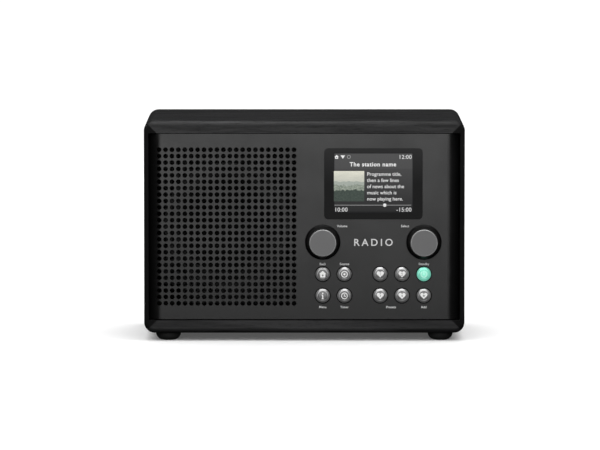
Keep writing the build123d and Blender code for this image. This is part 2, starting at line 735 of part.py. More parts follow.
def usb_socket():
    """A USB-C service socket: an oval shell with its tongue, on a small block."""
    x = SOCKETS["usb_socket"]
    mouth = BACK_OUTSIDE - 0.8
    shell = plate(8.94, 3.26, 1.62, (mouth - 7.5, mouth), x, SOCKET_Z)
    shell -= plate(8.34, 2.56, 1.27, (mouth - 6.2, mouth + 1), x, SOCKET_Z)
    shell += plate(6.7, 0.7, 0.3, (mouth - 7.0, mouth - 0.6), x, SOCKET_Z)
    return shell + block((x - 5, x + 5), (MAIN_BOARD_BACK, mouth - 7.5), (SOCKET_Z - 3, SOCKET_Z + 3))


# ---------------------------------------------------------------- aerial
def aerial_swivel():
    """A turret in the back panel that turns about Y, with two ears for the tilt pin."""
    face = Y_BACK - 0.3
    turret = peg(8.0, (BACK_OUTSIDE + 0.2, face), AERIAL_X, AERIAL_Z)
    turret = fillet(turret.edges().filter_by(GeomType.CIRCLE).group_by(Axis.Y)[-1], 0.5)
    turret += peg(4.5, (BACK_INSIDE - 0.2, BACK_OUTSIDE + 0.2), AERIAL_X, AERIAL_Z)
    turret += peg(6.0, (BACK_INSIDE - 1.6, BACK_INSIDE - 0.2), AERIAL_X, AERIAL_Z)
    for side in (-1, 1):
        level = AERIAL_Z + side * 2.6
        ear = Pos(AERIAL_X, AERIAL_Y, level) * Cylinder(3.6, 2.0)
        ear += block((AERIAL_X - 3.6, AERIAL_X + 3.6), (face - 0.5, AERIAL_Y), (level - 1, level + 1))
        turret += ear
    return turret - Pos(AERIAL_X, AERIAL_Y, AERIAL_Z) * Cylinder(1.25, 12)


def aerial_pin():
    return Pos(AERIAL_X, AERIAL_Y, AERIAL_Z) * Cylinder(1.25, 7.6)


def aerial_knuckle():
    """The tongue that tilts on the pin, the round shoulder of the rod, and the spigot inside its
    first tube."""
    tongue = Pos(AERIAL_X, AERIAL_Y, AERIAL_Z) * Cylinder(3.4, 3.0)
    tongue += block(
        (AERIAL_X - 6, AERIAL_X), (AERIAL_Y - 2.4, AERIAL_Y + 2.4), (AERIAL_Z - 1.5, AERIAL_Z + 1.5)
    )
    tongue += bar(3.0, (AERIAL_X - 8, AERIAL_X - 4.5), AERIAL_Y, AERIAL_Z)
    tongue += bar(2.6, (AERIAL_X - 14, AERIAL_X - 8), AERIAL_Y, AERIAL_Z)
    return tongue - Pos(AERIAL_X, AERIAL_Y, AERIAL_Z) * Cylinder(1.3, 8)


def aerial_tube(index):
    """A section of the rod, counted from 0 at its base. The last one is solid and has a tip."""
    radius = AERIAL_TUBE_RADII[index]
    base = AERIAL_X - 8 - (index > 0) * (7.0 + index)
    end = AERIAL_X - 8 - AERIAL_TUBE_LENGTH - index * AERIAL_STEP
    tube = bar(radius, (end, base), AERIAL_Y, AERIAL_Z)
    if index < len(AERIAL_TUBE_RADII) - 1:
        return tube - bar(radius - AERIAL_TUBE_WALL, (end - 1, base + 1), AERIAL_Y, AERIAL_Z)
    tip = bar(3.0, (end - 7, end), AERIAL_Y, AERIAL_Z)
    return tube + fillet(tip.edges().filter_by(GeomType.CIRCLE), 0.8)


# ---------------------------------------------------------------- screws
def case_screws():
    """Four screws that hold the front panel from inside, and four through the back panel."""
    made = []
    for x, z in corners():
        made.append(pan_screw(x, z, deep(BOSS_END + BLOCK), -1, 20.0))
        made.append(pan_screw(x, z, BACK_OUTSIDE - 2, -1, 11.0))
    return Compound(made)


def small_screws():
    """The self-tapping screws of the two boards and the speaker."""
    made = [pan_screw(x, z, deep(BOARD_BACK), -1, 8.0, 1.25, 2.4, 1.6) for x, z in BOARD_SCREWS]
    made += [pan_screw(x, z, MAIN_BOARD_FRONT, 1, 9.0, 1.25, 2.4, 1.6) for x, z in MAIN_BOARD_SCREWS]
    made += [pan_screw(x, z, deep(8.2), -1, 5.4, 1.25, 2.4, 1.6) for x, z in speaker_ears()]
    return Compound(made)


# ---------------------------------------------------------------- every node
def all_nodes():
    nodes = {
        "cabinet_sleeve": cabinet_sleeve(),
        "corner_blocks": corner_blocks(),
        "front_panel": front_panel(),
        "back_panel": back_panel(),
        "display_lens": display_lens(),
        "display_module": display_module(),
        "display_carrier": display_carrier(),
        "control_board": control_board(),
        "tact_switches": tact_switches(),
        "speaker_basket": speaker_basket(),
        "speaker_gasket": speaker_gasket(),
        "speaker_surround": speaker_surround(),
        "speaker_cone": speaker_cone(),
        "speaker_dust_cap": speaker_dust_cap(),
        "speaker_spider": speaker_spider(),
        "voice_coil": voice_coil(),
        "speaker_top_plate": speaker_magnet_ring(10.8, 23.0, (deep(31), deep(34))),
        "speaker_magnet": speaker_magnet_ring(13.0, 27.0, (deep(34), deep(43))),
        "speaker_yoke": speaker_yoke(),
        "main_board": main_board(),
        "board_components": board_components(),
        "board_connectors": board_connectors(),
        "ribbon_cable": ribbon_cable(),
        "internal_leads": internal_leads(),
        "dc_jack": dc_jack(),
        "headphone_jack": headphone_jack(),
        "usb_socket": usb_socket(),
        "aerial_swivel": aerial_swivel(),
        "aerial_pin": aerial_pin(),
        "aerial_knuckle": aerial_knuckle(),
        "case_screws": case_screws(),
        "small_screws": small_screws(),
    }
    for name, (x, y) in foot_places().items():
        nodes[name] = foot(x, y)
    for name, (x, z) in BUTTONS.items():
        nodes[name] = button(x, z)
    for name, x in KNOB_CENTRES.items():
        nodes[f"{name}_knob"] = knob(x)
        nodes[f"{name}_knob_cap"] = knob_cap(x)
        nodes[f"{name}_encoder_shaft"] = encoder_shaft(x)
        nodes[f"{name}_encoder"] = encoder_body(x)
        nodes[f"{name}_encoder_rotor"] = encoder_rotor(x)
    for index in range(len(AERIAL_TUBE_RADII)):
        nodes[f"aerial_tube_{index + 1}"] = aerial_tube(index)
    return nodes


os.makedirs("parts", exist_ok=True)
for node_name, shape in all_nodes().items():
    export_step(shape, f"parts/{node_name}.step")
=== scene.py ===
import json
import math

import bmesh
import bpy
from mathutils import Matrix, Vector

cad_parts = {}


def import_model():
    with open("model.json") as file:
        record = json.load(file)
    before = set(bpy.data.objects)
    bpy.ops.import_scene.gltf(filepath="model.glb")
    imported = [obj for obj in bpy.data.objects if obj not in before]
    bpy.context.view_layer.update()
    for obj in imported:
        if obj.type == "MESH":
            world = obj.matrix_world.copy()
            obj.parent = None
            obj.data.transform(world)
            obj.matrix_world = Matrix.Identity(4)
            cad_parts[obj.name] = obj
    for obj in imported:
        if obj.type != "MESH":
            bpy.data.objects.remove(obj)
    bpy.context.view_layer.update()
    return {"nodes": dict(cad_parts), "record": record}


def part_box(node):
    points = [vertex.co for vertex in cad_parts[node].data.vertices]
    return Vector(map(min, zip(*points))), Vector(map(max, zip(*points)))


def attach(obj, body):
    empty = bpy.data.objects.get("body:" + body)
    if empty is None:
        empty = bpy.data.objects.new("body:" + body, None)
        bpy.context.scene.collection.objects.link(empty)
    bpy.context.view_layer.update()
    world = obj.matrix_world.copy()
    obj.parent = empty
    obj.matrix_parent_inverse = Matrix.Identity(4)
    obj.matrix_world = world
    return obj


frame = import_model()

MM = 0.001
CABINET = "cabinet"


# ---------------------------------------------------------------- places read from the frame, in metres
def middle(node):
    low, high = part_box(node)
    return (low + high) / 2


sleeve_low, sleeve_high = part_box("cabinet_sleeve")
SLEEVE_MIDDLE = (sleeve_low + sleeve_high) / 2
HALF_WIDTH = (sleeve_high.x - sleeve_low.x) / 2
HALF_HEIGHT = (sleeve_high.z - sleeve_low.z) / 2
FACE_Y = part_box("front_panel")[0].y
LENS_LOW, LENS_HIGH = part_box("display_lens")
LENS_MIDDLE = (LENS_LOW + LENS_HIGH) / 2

BUTTON_NAMES = [name for name in frame["nodes"] if name.endswith("_button")]


# ---------------------------------------------------------------- procedural materials
SOCKETS = {
    "base_color": "Base Color",
    "metallic": "Metallic",
    "roughness": "Roughness",
    "specular": "Specular IOR Level",
    "coat": "Coat Weight",
    "coat_roughness": "Coat Roughness",
    "sheen": "Sheen Weight",
}


class Surface:
    """A material with one Principled shader, and short names for the nodes that feed it."""

    def __init__(self, name, **settings):
        self.material = bpy.data.materials.new(name)
        self.material.use_nodes = True
        self.tree = self.material.node_tree
        self.tree.nodes.clear()
        self.shader = self.node("ShaderNodeBsdfPrincipled")
        output = self.node("ShaderNodeOutputMaterial")
        self.tree.links.new(self.shader.outputs[0], output.inputs[0])
        self.place = self.node("ShaderNodeTexCoord").outputs["Object"]
        for socket, value in settings.items():
            self.put(self.shader.inputs[SOCKETS[socket]], value)

    def node(self, kind, **attributes):
        made = self.tree.nodes.new(kind)
        for attribute, value in attributes.items():
            setattr(made, attribute, value)
        return made

    def put(self, socket, value):
        """Links a socket to the value where that is an output, and otherwise sets it."""
        if isinstance(value, bpy.types.NodeSocket):
            self.tree.links.new(value, socket)
        elif socket.type == "RGBA" and len(value) == 3:
            socket.default_value = (*value, 1.0)
        else:
            socket.default_value = value

    def feed(self, socket, value):
        self.put(self.shader.inputs[socket], value)

    def math(self, operation, a, b=0.0):
        made = self.node("ShaderNodeMath", operation=operation)
        self.put(made.inputs[0], a)
        self.put(made.inputs[1], b)
        return made.outputs[0]

    def axes(self):
        split = self.node("ShaderNodeSeparateXYZ")
        self.put(split.inputs[0], self.place)
        return split.outputs

    def join(self, x, y, z):
        made = self.node("ShaderNodeCombineXYZ")
        for socket, value in zip(made.inputs, (x, y, z)):
            self.put(socket, value)
        return made.outputs[0]

    def noise(self, scale, detail=4.0, roughness=0.55, vector=None, distortion=0.0):
        """Noise of about the given number of features to a metre, or one number for each axis."""
        vector = self.place if vector is None else vector
        if not isinstance(scale, (int, float)):
            mapping = self.node("ShaderNodeMapping")
            self.put(mapping.inputs["Vector"], vector)
            self.put(mapping.inputs["Scale"], scale)
            vector, scale = mapping.outputs[0], 1.0
        made = self.node("ShaderNodeTexNoise")
        self.put(made.inputs["Vector"], vector)
        for socket, value in (
            ("Scale", scale),
            ("Detail", detail),
            ("Roughness", roughness),
            ("Distortion", distortion),
        ):
            self.put(made.inputs[socket], value)
        return made.outputs["Fac"]

    def spread(self, value, low, high, new_low=0.0, new_high=1.0):
        """The value's range from low to high, stretched to a new range and clamped."""
        made = self.node("ShaderNodeMapRange")
        for socket, number in zip(made.inputs, (value, low, high, new_low, new_high)):
            self.put(socket, number)
        return made.outputs[0]

    def mix(self, share, a, b, blend="MIX"):
        made = self.node("ShaderNodeMix", data_type="RGBA", blend_type=blend)
        self.put(made.inputs[0], share)
        self.put(made.inputs[6], a)
        self.put(made.inputs[7], b)
        return made.outputs[2]

    def total(self, *layers):
        """The sum of values, each times its share."""
        terms = [self.math("MULTIPLY", value, share) for value, share in layers]
        made = terms[0]
        for term in terms[1:]:
            made = self.math("ADD", made, term)
        return made

    def bump(self, height, distance, strength):
        made = self.node("ShaderNodeBump")
        for socket, value in (("Height", height), ("Distance", distance), ("Strength", strength)):
            self.put(made.inputs[socket], value)
        return made.outputs[0]


BAND_SLANT = 9.0
PAINTED_SIDE_SHADE_DEPTH = 6 * MM


def veneer():
    """Black-stained open-grain veneer that wraps round the cabinet: the grain runs along X on the top
    and bottom boards and on down the sides, with darker pores, slanted bands and worn, slightly paler
    streaks. The sides carry painted shade, darkest and mattest near the front."""
    s = Surface("veneer", specular=0.25)
    x, y, z = s.axes()
    z = s.math("SUBTRACT", z, SLEEVE_MIDDLE.z)
    from_side = s.math("SUBTRACT", s.math("ABSOLUTE", x), HALF_WIDTH)
    from_top = s.math("SUBTRACT", s.math("ABSOLUTE", z), HALF_HEIGHT)
    side = s.math("GREATER_THAN", from_side, from_top)
    down = s.math("SUBTRACT", HALF_WIDTH + HALF_HEIGHT, z)
    down = s.math("MULTIPLY", s.math("SIGN", x), down)
    depth = s.math("ADD", from_side, HALF_HEIGHT)

    def choose(a, b):
        return s.math("ADD", a, s.math("MULTIPLY", side, s.math("SUBTRACT", b, a)))

    along, across = choose(x, down), choose(z, depth)
    wander = s.math("MULTIPLY", s.math("SUBTRACT", s.noise((9, 14, 14), 2.0), 0.5), 0.012)
    grain = s.join(along, s.math("ADD", y, wander), s.math("ADD", across, wander))

    figure = s.spread(s.noise((11, 110, 240), 3.0, 0.6, grain), 0.38, 0.62)
    streaks = s.spread(s.noise((26, 420, 620), 5.0, 0.62, grain), 0.35, 0.66)
    fibres = s.noise((60, 2400, 2600), 3.0, 0.6, grain)
    pores = s.spread(s.noise((170, 2900, 3100), 2.0, 0.5, grain), 0.60, 0.70)

    lean = s.math("ADD", along, s.math("MULTIPLY", across, BAND_SLANT))
    slant = s.join(lean, s.math("MULTIPLY", y, BAND_SLANT), 0.0)
    bands = s.spread(s.noise((16, 60, 1), 2.0, 0.55, slant), 0.45, 0.62)
    tone = s.total((figure, 0.3), (bands, 0.6), (streaks, 0.35), (fibres, 0.16))
    colour = s.mix(tone, (0.002, 0.002, 0.0021), (0.022, 0.022, 0.0227))
    colour = s.mix(s.math("MULTIPLY", pores, 0.75), colour, (0.003, 0.003, 0.003))
    # painted shade: the sides darken towards black, and turn matt, near the front
    shade = s.math("MULTIPLY", side, s.spread(y, FACE_Y, FACE_Y + PAINTED_SIDE_SHADE_DEPTH, 0.95, 0.45))
    s.feed("Base Color", s.mix(shade, colour, (0.0, 0.0, 0.0)))
    gloss = s.math("SUBTRACT", s.spread(streaks, 0, 1, 0.62, 0.46), s.math("MULTIPLY", fibres, 0.08))
    rough = s.math("ADD", gloss, s.math("MULTIPLY", pores, 0.25))
    s.feed("Roughness", s.math("MAXIMUM", rough, shade))
    height = s.math("SUBTRACT", s.math("MULTIPLY", fibres, 0.35), pores)
    height = s.math("ADD", height, s.math("MULTIPLY", streaks, 0.25))
    s.feed("Normal", s.bump(height, 0.06 * MM, 0.8))
    return s


MOTTLE = 0.12
SIDE_MARGIN = 10 * MM
SHADE_FADE = 0.4 * MM


def moulded(name, colour, roughness=0.5, texture=5200, depth=0.02 * MM, inside=None, **settings):
    """Spark-textured moulded plastic: a fine pebbled grain, faint flow mottling and rubbed patches.
    Where it lies further back than the place called inside, except near the sides, it is painted shade:
    matt black, so its holes and its back look dark."""
    s = Surface(name, **settings)
    pebble = s.noise(texture, 3.0, 0.5)
    flow = s.noise((55, 55, 85), 3.0, 0.6)
    rubbed = s.spread(s.noise(38, 4.0, 0.6), 0.35, 0.7)
    dark = [c * (1 - MOTTLE) for c in colour]
    light = [c * (1 + MOTTLE) for c in colour]
    colour = s.mix(s.total((flow, 0.7), (pebble, 0.3)), dark, light)
    rough = s.math("ADD", roughness - 0.05, s.math("MULTIPLY", rubbed, 0.10))
    if inside is not None:
        x, y, _ = s.axes()
        within = s.math("LESS_THAN", s.math("ABSOLUTE", x), HALF_WIDTH - SIDE_MARGIN)
        # painted shade: deep in the holes and behind the face the plastic turns near black and matt
        painted_hole_shade = s.math("MULTIPLY", s.spread(y, inside, inside + SHADE_FADE), within)
        colour = s.mix(painted_hole_shade, colour, (0.0005, 0.0005, 0.0005))
        rough = s.math("MAXIMUM", rough, painted_hole_shade)
    s.feed("Base Color", colour)
    s.feed("Roughness", rough)
    s.feed("Normal", s.bump(pebble, depth, 0.7))
    return s


def rubber(name, colour):
    s = Surface(name, specular=0.35)
    dark, light = [c * 0.7 for c in colour], [c * 1.4 for c in colour]
    s.feed("Base Color", s.mix(s.noise(900, 4.0), dark, light))
    s.feed("Roughness", s.spread(s.noise(260, 3.0), 0.3, 0.7, 0.72, 0.9))
    s.feed("Normal", s.bump(s.noise(2600, 2.0), 0.03 * MM, 0.7))
    return s


def plated(name, colour, roughness, along=(0, 0, 0)):
    """Metal with fine drawing lines along one axis and faint smears."""
    s = Surface(name, metallic=1.0)
    stretch = [900 if a == 0 else 30 for a in along]
    lines = s.noise(stretch, 4.0, 0.6)
    smears = s.spread(s.noise(60, 3.0, 0.6), 0.3, 0.7)
    dark, light = [c * 0.9 for c in colour], [min(1, c * 1.06) for c in colour]
    s.feed("Base Color", s.mix(lines, dark, light))
    rough = s.math("ADD", roughness, s.math("MULTIPLY", smears, roughness * 0.6))
    s.feed("Roughness", s.math("ADD", rough, s.math("MULTIPLY", lines, roughness * 0.3)))
    s.feed("Normal", s.bump(lines, 0.004 * MM, 0.6))
    return s


def radial(s, centre):
    """How far a point is from a line along Y through the centre, and its angle round that line."""
    x, _, z = s.axes()
    x = s.math("SUBTRACT", x, centre.x)
    z = s.math("SUBTRACT", z, centre.z)
    far = s.math("SQRT", s.math("ADD", s.math("MULTIPLY", x, x), s.math("MULTIPLY", z, z)))
    return far, s.math("ARCTAN2", z, x)


CUT_EDGE = 0.45 * MM


def spun_cap(name):
    """Grey anodised aluminium, blasted, with a trace of the lathe's rings left and a bright cut rim,
    whose paler colour is partly a painted highlight.
    """
    s = Surface(name, metallic=0.55)
    low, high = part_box(name)
    reach = (high.x - low.x) / 2
    far, angle = radial(s, (low + high) / 2)
    polar = s.join(s.math("MULTIPLY", far, 5200), s.math("MULTIPLY", angle, 0.35), 0.0)
    rings = s.noise(1.0, 2.0, 0.5, polar)
    blast = s.noise(6500, 2.0, 0.5)
    tone = s.total((rings, 0.5), (blast, 0.5))
    # the cut rim is paler and glossier; its paler colour is partly a painted highlight
    edge = s.math("GREATER_THAN", far, reach - CUT_EDGE)
    face = s.mix(tone, (0.12, 0.12, 0.121), (0.155, 0.155, 0.156))
    s.feed("Base Color", s.mix(edge, face, (0.34, 0.34, 0.34)))
    rough = s.spread(blast, 0.3, 0.7, 0.42, 0.54)
    s.feed("Roughness", s.math("SUBTRACT", rough, s.math("MULTIPLY", edge, 0.26)))
    s.feed("Normal", s.bump(tone, 0.006 * MM, 0.5))
    return s


BUTTON_FACE_RADIUS = 2.5 * MM
BUTTON_RING_RADIUS = 2.9 * MM
GROOVE_RADIUS = 2.72 * MM
GROOVE_HALF = 0.17 * MM
GAP_SHADE_FROM, GAP_SHADE_TO = -0.2 * MM, 0.4 * MM


def button_cap(name, ring, face, glow=None):
    """A satin metallic paint with a fine flake under a clear coat, on a paler ring that is partly a
    painted highlight. Painted shade darkens the groove, and makes the cap near black and matt below the
    panel's face, in the gap round the button. A lit one glows through its paint."""
    s = Surface(name + "_cap", coat=0.4, coat_roughness=0.15, metallic=0.62)
    far, _ = radial(s, middle(name))
    # the ring's paler colour is two-tone paint and partly a painted highlight
    outer = s.spread(far, BUTTON_FACE_RADIUS, BUTTON_RING_RADIUS)
    # painted shade: darker in the groove
    off_groove = s.math("ABSOLUTE", s.math("SUBTRACT", far, GROOVE_RADIUS))
    groove = s.math("LESS_THAN", off_groove, GROOVE_HALF)
    flake = s.noise(9000, 2.0, 0.5)
    cloud = s.noise(420, 3.0)
    speckle = s.spread(flake, 0.25, 0.75, 0.82, 1.18)
    colour = s.mix(outer, face, ring)
    colour = s.mix(s.math("MULTIPLY", groove, 0.55), colour, (0.01, 0.01, 0.01))
    _, y, _ = s.axes()
    # painted shade: near black and matt below the panel's face, in the gap round the button
    painted_gap_shade = s.spread(y, FACE_Y + GAP_SHADE_FROM, FACE_Y + GAP_SHADE_TO)
    colour = s.mix(1.0, colour, s.join(speckle, speckle, speckle), "MULTIPLY")
    s.feed("Base Color", s.mix(painted_gap_shade, colour, (0.001, 0.001, 0.001)))
    rough = s.math("ADD", 0.27, s.math("MULTIPLY", cloud, 0.08))
    s.feed("Roughness", s.math("MAXIMUM", rough, s.math("MULTIPLY", painted_gap_shade, 0.9)))
    s.feed("Normal", s.bump(flake, 0.003 * MM, 0.5))
    if glow:
        lit, strength = glow
        s.feed("Emission Color", s.mix(cloud, [c * 0.85 for c in lit], lit))
        s.feed("Emission Strength", s.spread(painted_gap_shade, 0, 1, strength, 0.0))
    return s


def ink(name, colour, strength=0.0):
    """Pad-printed ink: slightly uneven, with a soft sheen. Strength makes it glow: on the lit standby
    button that is its backlight, on other print with no lamp behind it a painted glow.
    """
    s = Surface(name)
    cover = s.noise(3800, 3.0, 0.6)
    tint = s.mix(cover, [c * 0.82 for c in colour], colour)
    s.feed("Base Color", tint)
    s.feed("Roughness", s.spread(cover, 0.3, 0.7, 0.45, 0.62))
    s.feed("Normal", s.bump(cover, 0.004 * MM, 0.5))
    if strength:
        s.feed("Emission Color", tint)
        s.feed("Emission Strength", strength)
    return s


SCREEN_PIXEL = 0.153 * MM
PIXEL_GAP = 0.12
GLASS = {"roughness": 0.12, "base_color": (0.006, 0.006, 0.007), "specular": 0.04}


def pixels(s, colour):
    """The colour seen through the display's pixel grid."""
    x, _, z = s.axes()
    share = None
    for axis in (x, z):
        phase = s.math("FRACT", s.math("DIVIDE", axis, SCREEN_PIXEL))
        lit = s.math("GREATER_THAN", phase, PIXEL_GAP)
        share = lit if share is None else s.math("MULTIPLY", share, lit)
    return s.mix(s.spread(share, 0, 1, 0.35, 0), colour, (0.0, 0.0, 0.0))


def display_sheet(name, colour):
    """A lit shape on the display, behind polished glass."""
    s = Surface(name, **GLASS)
    lit = s.mix(s.noise(2200, 2.0), [c * 0.97 for c in colour], colour)
    s.feed("Emission Color", pixels(s, lit))
    s.feed("Emission Strength", 1.0)
    return s


def landscape(low, high):
    """The picture on the display: a pale sky over three ranges of hills, all from noise."""
    s = Surface("landscape", **GLASS)
    x, _, z = s.axes()
    height = s.spread(z, low.z, high.z)
    haze = s.math("ADD", height, s.math("MULTIPLY", s.noise((90, 90, 420), 4.0), 0.35))
    made = s.mix(s.spread(haze, 0.7, 1.2), (0.50, 0.52, 0.46), (0.86, 0.85, 0.72))
    # each range's level, swing, features to a metre, and its shaded and lit colours
    ranges = (
        (0.66, 0.10, 260, (0.36, 0.40, 0.36), (0.46, 0.50, 0.44)),
        (0.54, 0.18, 330, (0.13, 0.17, 0.14), (0.46, 0.50, 0.42)),
        (0.36, 0.14, 420, (0.035, 0.05, 0.042), (0.085, 0.11, 0.092)),
    )
    for level, swing, size, shade, lit in ranges:
        wave = s.math("SUBTRACT", s.noise(size, 6.0, 0.6, s.join(x, level, 0.0)), 0.5)
        ridge = s.math("MULTIPLY", wave, swing * 2)
        under = s.math("LESS_THAN", height, s.math("ADD", ridge, level))
        slopes = s.spread(s.noise(size * 5, 5.0, 0.65), 0.35, 0.65)
        made = s.mix(under, made, s.mix(slopes, shade, lit))
    s.feed("Emission Color", pixels(s, made))
    s.feed("Emission Strength", 0.95)
    return s


def lens():
    """Polished black acrylic with faint smears, paler towards its top edge: a painted reflection."""
    s = Surface("lens", specular=0.05)
    _, _, z = s.axes()
    # painted reflection: paler towards the top edge
    fade = s.spread(z, LENS_MIDDLE.z, LENS_HIGH.z)
    s.feed("Base Color", s.mix(fade, (0.007, 0.007, 0.0072), (0.024, 0.024, 0.0245)))
    s.feed("Roughness", s.spread(s.noise(70, 4.0, 0.6), 0.3, 0.75, 0.07, 0.16))
    s.feed("Normal", s.bump(s.noise(800, 2.0), 0.001 * MM, 0.3))
    return s


def circuit_board(name):
    """Solder mask over copper tracks, with tinned pads."""
    s = Surface(name, specular=0.5)
    tracks = s.node("ShaderNodeTexBrick", offset=0.37, squash=1.0)
    mapping = s.node("ShaderNodeMapping")
    s.put(mapping.inputs["Vector"], s.place)
    s.put(mapping.inputs["Rotation"], (math.pi / 2, 0, 0))
    for socket, value in (
        ("Vector", mapping.outputs[0]),
        ("Scale", 260.0),
        ("Mortar Size", 0.035),
        ("Color1", (0.010, 0.060, 0.030)),
        ("Color2", (0.012, 0.068, 0.034)),
        ("Mortar", (0.030, 0.130, 0.070)),
    ):
        s.put(tracks.inputs[socket], value)
    pads = s.math("LESS_THAN", s.noise(700, 0.0), 0.27)
    s.feed("Base Color", s.mix(pads, tracks.outputs["Color"], (0.62, 0.60, 0.55)))
    s.feed("Metallic", pads)
    s.feed("Roughness", s.spread(s.noise(200, 3.0), 0.3, 0.7, 0.28, 0.42))
    s.feed("Normal", s.bump(tracks.outputs["Fac"], 0.03 * MM, 0.5))
    return s


def pulp(name, dark, light):
    """Pressed paper pulp: short tangled fibres."""
    s = Surface(name, specular=0.25)
    fibres = s.noise((1500, 700, 1500), 5.0, 0.7, distortion=1.5)
    s.feed("Base Color", s.mix(fibres, dark, light))
    s.feed("Roughness", s.spread(fibres, 0.3, 0.7, 0.75, 0.95))
    s.feed("Normal", s.bump(fibres, 0.08 * MM, 0.8))
    return s


WEAVE_PITCH = 0.5 * MM
WIRE_PITCH = 0.22 * MM


def woven(name, dark, light):
    """Open plain weave."""
    s = Surface(name, sheen=0.2)
    x, _, z = s.axes()
    turn = 2 * math.pi / WEAVE_PITCH
    warp, weft = (s.math("SINE", s.math("MULTIPLY", axis, turn)) for axis in (x, z))
    threads = s.math("MULTIPLY", warp, weft)
    s.feed("Base Color", s.mix(s.spread(threads, -1, 1), dark, light))
    s.feed("Roughness", s.spread(s.noise(900), 0.3, 0.7, 0.8, 0.95))
    s.feed("Normal", s.bump(threads, 0.08 * MM, 0.6))
    return s


def winding(name):
    """Enamelled copper wire, wound close."""
    s = Surface(name, metallic=0.9)
    _, y, _ = s.axes()
    turns = s.math("SINE", s.math("MULTIPLY", y, 2 * math.pi / WIRE_PITCH))
    s.feed("Base Color", s.mix(s.spread(turns, -1, 1), (0.35, 0.12, 0.05), (0.75, 0.33, 0.16)))
    s.feed("Roughness", s.spread(s.noise(600), 0.3, 0.7, 0.25, 0.4))
    s.feed("Normal", s.bump(turns, 0.05 * MM, 0.8))
    return s


# ---------------------------------------------------------------- materials of the record's slots
# how far behind the panel's face its painted shade begins
PANEL_SHADE_DEPTH = 1.9 * MM
SLOT_SURFACES = {
    "wood_veneer": veneer(),
    "plain_wood": pulp("plain_wood", (0.006, 0.005, 0.004), (0.018, 0.015, 0.012)),
    "front_plastic": moulded(
        "front_plastic",
        (0.003, 0.003, 0.0031),
        0.34,
        depth=0.01 * MM,
        specular=0.5,
        inside=FACE_Y + PANEL_SHADE_DEPTH,
    ),
    "back_plastic": moulded("back_plastic", (0.045, 0.045, 0.046), 0.55, 3600, 0.04 * MM),
    "foot_rubber": rubber("foot_rubber", (0.014, 0.014, 0.014)),
    "display_lens": lens(),
    "display_glass": moulded("display_glass", (0.03, 0.03, 0.032), 0.15, 700, 0.002 * MM),
    "carrier_plastic": moulded("carrier_plastic", (0.04, 0.04, 0.04)),
    "circuit_board": circuit_board("circuit_board"),
    "switch_plastic": moulded("switch_plastic", (0.03, 0.03, 0.03), 0.4),
    "speaker_steel": moulded(
        "speaker_steel", (0.004, 0.004, 0.004), 0.6, 1800, 0.01 * MM, specular=0.1
    ),
    "gasket_foam": rubber("gasket_foam", (0.004, 0.004, 0.004)),
    "surround_rubber": rubber("surround_rubber", (0.01, 0.01, 0.01)),
    "cone_paper": pulp("cone_paper", (0.005, 0.005, 0.005), (0.014, 0.014, 0.0135)),
    "spider_cloth": woven("spider_cloth", (0.26, 0.17, 0.06), (0.60, 0.44, 0.20)),
    "coil_copper": winding("coil_copper"),
    "magnet_steel": plated("magnet_steel", (0.52, 0.52, 0.53), 0.3),
    "ferrite": pulp("ferrite", (0.03, 0.03, 0.032), (0.06, 0.06, 0.063)),
    "board_parts": plated("board_parts", (0.46, 0.46, 0.48), 0.32),
    "connector_plastic": moulded("connector_plastic", (0.62, 0.58, 0.47), 0.5),
    "ribbon_film": moulded("ribbon_film", (0.70, 0.70, 0.67), 0.35, 1500, 0.01 * MM),
    "lead_jacket": rubber("lead_jacket", (0.03, 0.03, 0.03)),
    "jack_plastic": moulded("jack_plastic", (0.013, 0.013, 0.013), 0.35),
    "socket_steel": plated("socket_steel", (0.58, 0.58, 0.60), 0.26, (0, 1, 0)),
    "aerial_plastic": moulded("aerial_plastic", (0.02, 0.02, 0.02), 0.42),
    "aerial_chrome": plated("aerial_chrome", (0.78, 0.79, 0.81), 0.09, (1, 0, 0)),
    "screw_steel": plated("screw_steel", (0.02, 0.02, 0.021), 0.45),
    "knob_plastic": moulded(
        "knob_plastic", (0.003, 0.003, 0.003), 0.36, 4200, 0.01 * MM, specular=0.22
    ),
    "knob_aluminium": spun_cap("volume_knob_cap"),
    "shaft_steel": plated("shaft_steel", (0.55, 0.55, 0.56), 0.3, (0, 1, 0)),
    "encoder_metal": plated("encoder_metal", (0.52, 0.52, 0.53), 0.3),
}
NODE_SURFACES = {
    "select_knob_cap": spun_cap("select_knob_cap"),
    "standby_button": button_cap(
        "standby_button", (0.20, 0.58, 0.45), (0.19, 0.50, 0.38), ((0.13, 0.42, 0.32), 0.95)
    ),
}
for name in BUTTON_NAMES:
    if name not in NODE_SURFACES:
        NODE_SURFACES[name] = button_cap(name, (0.36, 0.36, 0.362), (0.16, 0.16, 0.161))


def dress(piece, surface):
    piece.data.materials.clear()
    piece.data.materials.append(surface.material)


for part in frame["record"]["subparts"]:
    node = frame["nodes"][part["node"]]
    dress(node, NODE_SURFACES.get(part["node"]) or SLOT_SURFACES[part["material_slot"]])


# ---------------------------------------------------------------- thin printed and lit shapes
MERGE = 0.0005 * MM
PLATE = 0.02 * MM
CAPITAL_SHARE = 0.73


def as_mesh(name, curve, matrix):
    """A closed mesh of a filled curve or of text, with doubled points merged."""
    source = bpy.data.objects.new(name + "_source", curve)
    bpy.context.scene.collection.objects.link(source)
    depsgraph = bpy.context.evaluated_depsgraph_get()
    mesh = bpy.data.meshes.new_from_object(source.evaluated_get(depsgraph))
    bpy.data.objects.remove(source)
    mesh.transform(matrix)
    shape = bmesh.new()
    shape.from_mesh(mesh)
    bmesh.ops.remove_doubles(shape, verts=shape.verts, dist=MERGE)
    bmesh.ops.recalc_face_normals(shape, faces=shape.faces)
    shape.to_mesh(mesh)
    shape.free()
    mesh.name = name
    piece = bpy.data.objects.new(name, mesh)
    bpy.context.scene.collection.objects.link(piece)
    return piece


